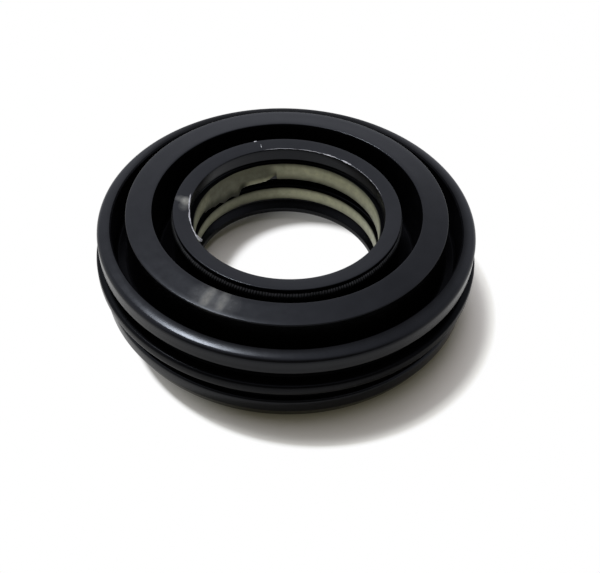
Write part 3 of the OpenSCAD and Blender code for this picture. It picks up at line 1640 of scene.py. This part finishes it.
@dataclass
class LipFlashAndGlints:
    """The slivers of flash left on the lip's edge and the painted glints along it, as one piece, with sizes
    in millimetres.

    Attributes:
        section: The body's half section.
        slivers: The strips.
        sides: Sides of a strip's cross section.
        step: Longest straight step along a strip.
        least_steps: Fewest steps along a strip.
        lift: How far a strip's middle line lies above the lip's face.
        wander: How far the middle line wanders.
        wander_waves: Bumps round the axis of that wandering.
        blunt: How blunt the ends are, in steps.
        taper: Power of the narrowing to both ends, lower for a fuller strip.
        lumps: How much the width varies.
        lump_scale: Lumps in a millimetre, roughly.
    """

    section: SealSection
    slivers: tuple[Sliver, ...] = FLASH_AND_GLINTS
    sides: int = 6
    step: float = 0.12
    least_steps: int = 8
    lift: float = 0.005
    wander: float = 0.05
    wander_waves: float = 150.0
    blunt: float = 0.15
    taper: float = 0.6
    lumps: float = 0.5
    lump_scale: float = 3.0

    def middle_line(self, sliver: Sliver, steps: int) -> list[Vector]:
        """Runs a strip's middle line over the lip's face.

        Args:
            sliver: The strip.
            steps: Straight steps along it.

        Returns:
            The line's points in millimetres.
        """
        (deg_0, r_0), (deg_1, r_1) = sliver.start, sliver.end
        line = []
        for i in range(steps + 1):
            share = i / steps
            angle = math.radians(deg_0 + (deg_1 - deg_0) * share)
            r = r_0 + (r_1 - r_0) * share + self.wander * ripple(angle, self.wander_waves, deg_0)
            face_z = self.section.flange_face_z(max(r, self.section.land_r))
            z = face_z + self.lift - sliver.drop * share
            line.append(Vector((r * math.cos(angle), r * math.sin(angle), z)))
        return line

    def strip(self, sliver: Sliver) -> list[list[Vector]]:
        """Lays the cross sections of one strip along its middle line.

        Args:
            sliver: The strip.

        Returns:
            The rings of points, which narrow to both ends.
        """
        (deg_0, r_0), (deg_1, r_1) = sliver.start, sliver.end
        length = math.hypot(math.radians(deg_1 - deg_0) * r_0, r_1 - r_0)
        steps = max(self.least_steps, math.ceil(length / self.step))
        line = self.middle_line(sliver, steps)
        rings = []
        for i, point in enumerate(line):
            along = (line[min(i + 1, steps)] - line[max(i - 1, 0)]).normalized()
            across = along.cross(Vector((0.0, 0.0, 1.0))).normalized()
            upward = across.cross(along)
            size = math.sin(math.pi * (i + self.blunt) / (steps + 2.0 * self.blunt)) ** self.taper
            size *= 1.0 + self.lumps * noise.noise(point * self.lump_scale)
            ring = []
            for a in steps_round(self.sides):
                side = across * (sliver.half_width * size * math.cos(a))
                height = upward * (sliver.half_height * size * math.sin(a))
                ring.append(point + side + height)
            rings.append(ring)
        return rings

    def build(self) -> bpy.types.Object:
        """Joins the strips.

        Returns:
            The flash with the painted glints.
        """
        vertices: list[Place] = []
        faces: list[tuple[int, ...]] = []
        for sliver in self.slivers:
            base = len(vertices)
            rings = self.strip(sliver)
            vertices += [tuple(point * MM) for ring in rings for point in ring]
            for i in range(len(rings) - 1):
                here = base + i * self.sides
                there = here + self.sides
                for k in range(self.sides):
                    j = (k + 1) % self.sides
                    faces.append((here + k, here + j, there + j, there + k))
            faces.append(tuple(range(base + self.sides - 1, base - 1, -1)))
            faces.append(tuple(range(len(vertices) - self.sides, len(vertices))))
        return mesh_object("lip_flash", vertices, faces, sharp_deg=60.0)

    def dress(self, flash: bpy.types.Object) -> None:
        """Gives the flash and the painted glints their pale finish."""
        seat_piece(flash, PaleFlashAndGlintFinish().material())


@dataclass
class Camera:
    """The camera at the photograph's place, looking down on the seal's face.

    Attributes:
        aim_mm: Height above the table of the point on the shaft axis that the view is measured from.
        distance_mm: From that point.
        elevation_deg: Above the table.
        pan_deg: Turn of the view to the left.
        tilt_deg: Turn of the view up.
        roll_deg: Turn of the view about its own axis.
        focal_px: Focal length in pixels of the picture's frame.
        sensor_mm: Sensor width.
        nearest: Nearest distance that it sees, in metres.
    """

    aim_mm: float = 1.5
    distance_mm: float = 136.38
    elevation_deg: float = 44.545
    pan_deg: float = -0.855
    tilt_deg: float = -0.919
    roll_deg: float = -1.652
    focal_px: float = 982.85
    sensor_mm: float = 36.0
    nearest: float = 0.005

    def build(self) -> None:
        """Places the camera and makes it the scene's."""
        rise = math.radians(self.elevation_deg)
        away = Vector((0.0, -math.cos(rise), math.sin(rise)))
        place = (away * self.distance_mm + Vector((0.0, 0.0, self.aim_mm))) * MM
        ahead = -away
        right = Vector((1.0, 0.0, 0.0))
        up = right.cross(ahead)
        pan = Matrix.Rotation(math.radians(self.pan_deg), 3, up)
        ahead, right = pan @ ahead, pan @ right
        tilt = Matrix.Rotation(math.radians(self.tilt_deg), 3, right)
        ahead, up = tilt @ ahead, tilt @ up
        roll = Matrix.Rotation(math.radians(self.roll_deg), 3, ahead)
        right, up = roll @ right, roll @ up
        lens = bpy.data.cameras.new("photo_camera")
        lens.sensor_fit = "HORIZONTAL"
        lens.sensor_width = self.sensor_mm
        lens.lens = self.focal_px * self.sensor_mm / FRAME_W
        lens.clip_start = self.nearest
        camera = bpy.data.objects.new("photo_camera", lens)
        turn = Matrix((right, up, -ahead)).transposed().to_4x4()
        camera.matrix_world = Matrix.Translation(place) @ turn
        bpy.context.scene.collection.objects.link(camera)
        bpy.context.scene.camera = camera


@dataclass(frozen=True)
class Lamp:
    """A soft studio lamp that faces the seal.

    Attributes:
        role: What it is for.
        direction: From the seal towards the lamp.
        distance: From the seal, in metres.
        size: Width and height, in metres.
        power: In watts.
        colour: Its tint.
        mirrored: Whether it shows in reflections.
    """

    role: LampRole
    direction: Place
    distance: float
    size: tuple[float, float]
    power: float
    colour: Colour = (1.0, 1.0, 1.0)
    mirrored: bool = True

    def build(self) -> None:
        """Hangs the lamp."""
        light = bpy.data.lights.new(f"{self.role.value}_lamp", "AREA")
        light.shape = "RECTANGLE"
        light.size, light.size_y = self.size
        light.energy = self.power
        light.color = self.colour
        lamp = bpy.data.objects.new(light.name, light)
        aim = Vector(self.direction).normalized()
        lamp.location = aim * self.distance
        lamp.visible_glossy = self.mirrored
        lamp.rotation_euler = aim.to_track_quat("Z", "Y").to_euler()
        bpy.context.scene.collection.objects.link(lamp)


@dataclass(frozen=True)
class Patch:
    """A round patch of the table with a soft edge, in millimetres.

    Attributes:
        centre: Its middle on the table.
        inner: Radius where its edge starts.
        outer: Radius where its edge ends.
    """

    centre: tuple[float, float]
    inner: float
    outer: float

    def level(self, bench: NodeBench, inside: float, outside: float) -> Socket:
        """Sets the patch off from the table round it.

        Args:
            bench: The table's node bench.
            inside: Value inside the patch.
            outside: Value outside it.

        Returns:
            The value at each place.
        """
        away = bench.add("ShaderNodeVectorMath", operation="DISTANCE")
        away.inputs[1].default_value = (self.centre[0] * MM, self.centre[1] * MM, 0.0)
        bench.join(bench.place(), away.inputs[0])
        edge = (self.outer * MM, self.inner * MM)
        return bench.spread(away.outputs["Value"], edge, (outside, inside), eased=True)


@dataclass
class Studio:
    """The white table, the lamps and the white surroundings.

    Attributes:
        table_size: Width of the table, in metres.
        table_colour: How much light the table returns.
        table_white: Strength of the table's painted white, where it is seen out of the shadow and in the
            painted pool of light.
        window: Colour of the bright surroundings beyond the seal, as they are mirrored.
        room: Colour of the dim surroundings on the viewer's side, as they are mirrored.
        room_edge: Directions, from the viewer's side to the far side, between which they change.
        ambient: Colour of the even light from all sides.
        pool: Round patch of the table under the bore, painted white as a pool of light reaching through the
            bore.
        glow: Round patch under the seal, painted paler as the pool's light spreading into the shade.
        glow_share: How white that painted glow is.
        shade: Round patch of the table that keeps the seal's shadow; outside it the table is painted white
            over the rest of the shadow.
        deep: Round patch where that shadow keeps its full depth; outside it white is painted thinly over the
            shadow.
        thin_share: How much white is painted over the shadow outside that patch.
        lamps: The lamps.
    """

    table_size: float = 3.0
    table_colour: Colour = (0.95, 0.94, 0.88)
    table_white: float = 1.0
    window: Colour = (1.03, 1.06, 1.17)
    room: Colour = (0.1, 0.095, 0.085)
    room_edge: Span = (-0.75, -0.05)
    ambient: Colour = (0.135, 0.125, 0.09)
    pool: Patch = Patch((4.0, -0.55), 10.9, 13.15)
    glow: Patch = Patch((7.3, 7.0), 5.3, 15.6)
    glow_share: float = 0.16
    shade: Patch = Patch((3.82, -3.66), 24.3, 25.35)
    deep: Patch = Patch((4.25, -5.7), 19.2, 28.8)
    thin_share: float = 0.46
    lamps: tuple[Lamp, ...] = (
        Lamp(
            LampRole.KEY,
            direction=(-0.299, 0.33, 1.0),
            distance=3.0,
            size=(0.68, 0.44),
            power=67.8,
            colour=(0.967, 1.003, 1.033),
        ),
        Lamp(
            LampRole.FILL,
            direction=(0.041, 0.307, 1.0),
            distance=2.0,
            size=(1.21, 2.05),
            power=15.2,
            colour=(0.98, 0.945, 1.07),
            mirrored=False,
        ),
    )

    def seen_rays(self, bench: NodeBench) -> Socket:
        """Marks the rays that show the surroundings: seen directly, mirrored or through glass.

        Args:
            bench: The node bench to add to.

        Returns:
            1 for those rays, and 0 for the rest.
        """
        rays = bench.add("ShaderNodeLightPath").outputs
        names = ("Is Camera Ray", "Is Glossy Ray", "Is Transmission Ray")
        return bench.combine(Working.LARGEST, *[rays[name] for name in names])

    def white_share(self, bench: NodeBench) -> Socket:
        """Finds where the table is painted white for the rays that see it: the painted pool of light under
        the bore and its glow, and painted light over the outer part of the seal's shadow.

        Args:
            bench: The table's node bench.

        Returns:
            1 where it is white, and 0 where it keeps its shading.
        """
        # Painted light on the table: white over the shadow outside the shade patch, thin white over it
        # outside the deep patch, and the painted pool of light under the bore with its glow
        levels = (
            self.shade.level(bench, 0.0, 1.0),
            self.deep.level(bench, 0.0, self.thin_share),
            self.pool.level(bench, 1.0, 0.0),
            self.glow.level(bench, self.glow_share, 0.0),
        )
        white = bench.combine(Working.LARGEST, *levels)
        return bench.combine(Working.MULTIPLY, white, self.seen_rays(bench))

    def build_table(self) -> None:
        """Lays the white table under the seal, as stage."""
        half = self.table_size / 2
        corners = [(-half, -half, 0.0), (half, -half, 0.0), (half, half, 0.0), (-half, half, 0.0)]
        table = mesh_object("white_table", corners, [(0, 1, 2, 3)])
        material = bpy.data.materials.new("white_table_top")
        bench = NodeBench(material)
        bench.tree.nodes.clear()
        matt = bench.add("ShaderNodeBsdfDiffuse", Color=(*self.table_colour, 1.0))
        white = bench.add("ShaderNodeEmission", Strength=self.table_white)
        top = bench.layer(self.white_share(bench), matt.outputs[0], white.outputs[0])
        bench.join(top, bench.add("ShaderNodeOutputMaterial").inputs["Surface"])
        table.data.materials.append(material)

    def build_sky(self) -> None:
        """Makes the surroundings white where they are seen, and an even soft light elsewhere."""
        world = bpy.data.worlds.new("white_surroundings")
        bpy.context.scene.world = world
        bench = NodeBench(world)
        bench.tree.nodes.clear()
        far = bench.part(bench.place(Space.SKY), Axis.AWAY)
        mirror = bench.blend(bench.spread(far, self.room_edge, UNIT, eased=True), self.room, self.window)
        mirrored = bench.add("ShaderNodeBackground")
        bench.join(mirror, mirrored.inputs["Color"])
        soft = bench.add("ShaderNodeBackground", Color=(*self.ambient, 1.0))
        white = bench.add("ShaderNodeBackground", Color=(1.0, 1.0, 1.0, 1.0))
        lit = bench.layer(self.seen_rays(bench), soft.outputs[0], mirrored.outputs[0])
        direct = bench.add("ShaderNodeLightPath").outputs["Is Camera Ray"]
        sky = bench.layer(direct, lit, white.outputs[0])
        bench.join(sky, bench.add("ShaderNodeOutputWorld").inputs["Surface"])

    def build(self) -> None:
        """Sets up the table, the lamps, the surroundings and the plain view transform."""
        self.build_table()
        self.build_sky()
        for lamp in self.lamps:
            lamp.build()
        bpy.context.scene.view_settings.view_transform = "Standard"


def read_section(frame: dict) -> SealSection:
    """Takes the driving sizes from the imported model.


    Returns:
        The seal's half section, in millimetres.
    """
    _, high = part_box("seal_body")
    coil_low, coil_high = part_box("garter_spring")
    mounts = {mount["name"]: mount for mount in frame["record"]["mounts"]}
    coil_d = (coil_high[2] - coil_low[2]) / MM
    return SealSection(
        rib_r=high[0] / MM,
        top_z=round(high[2] / MM, 1),
        lip_r=mounts["shaft_bore"]["dims"]["r_mm"],
        coil_r=coil_high[0] / MM - coil_d / 2,
        coil_z=(coil_high[2] + coil_low[2]) / 2 / MM,
        coil_d=coil_d,
    )


def main() -> None:
    """Builds the seal's pieces and the studio."""
    logging.basicConfig(level=logging.INFO, format="%(name)s: %(message)s")
    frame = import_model()
    section = read_section(frame)

    Camera().build()
    Studio().build()

    grease = GreaseFinish().material()
    upper_lip = (section.upper_tip_z, section.upper_run_h)
    lower_lip = (section.lower_tip_h, section.lower_run_h)
    makers = (
        SealBody(section),
        GarterSpring(section.coil_r, section.coil_z, section.coil_d),
        GreaseFilm(
            "upper_lip_grease", section, grease, *upper_lip, reach=3.2, seed=11.0, smear=Smear(GREASE_HANG)
        ),
        GreaseFilm("lower_lip_grease", section, grease, *lower_lip, reach=2.5, seed=23.0),
        LipFlashAndGlints(section),
    )
    for maker in makers:
        piece = maker.build()
        maker.dress(piece)
        LOG.info("piece %s", piece.name)


if __name__ == "__main__":
    main()
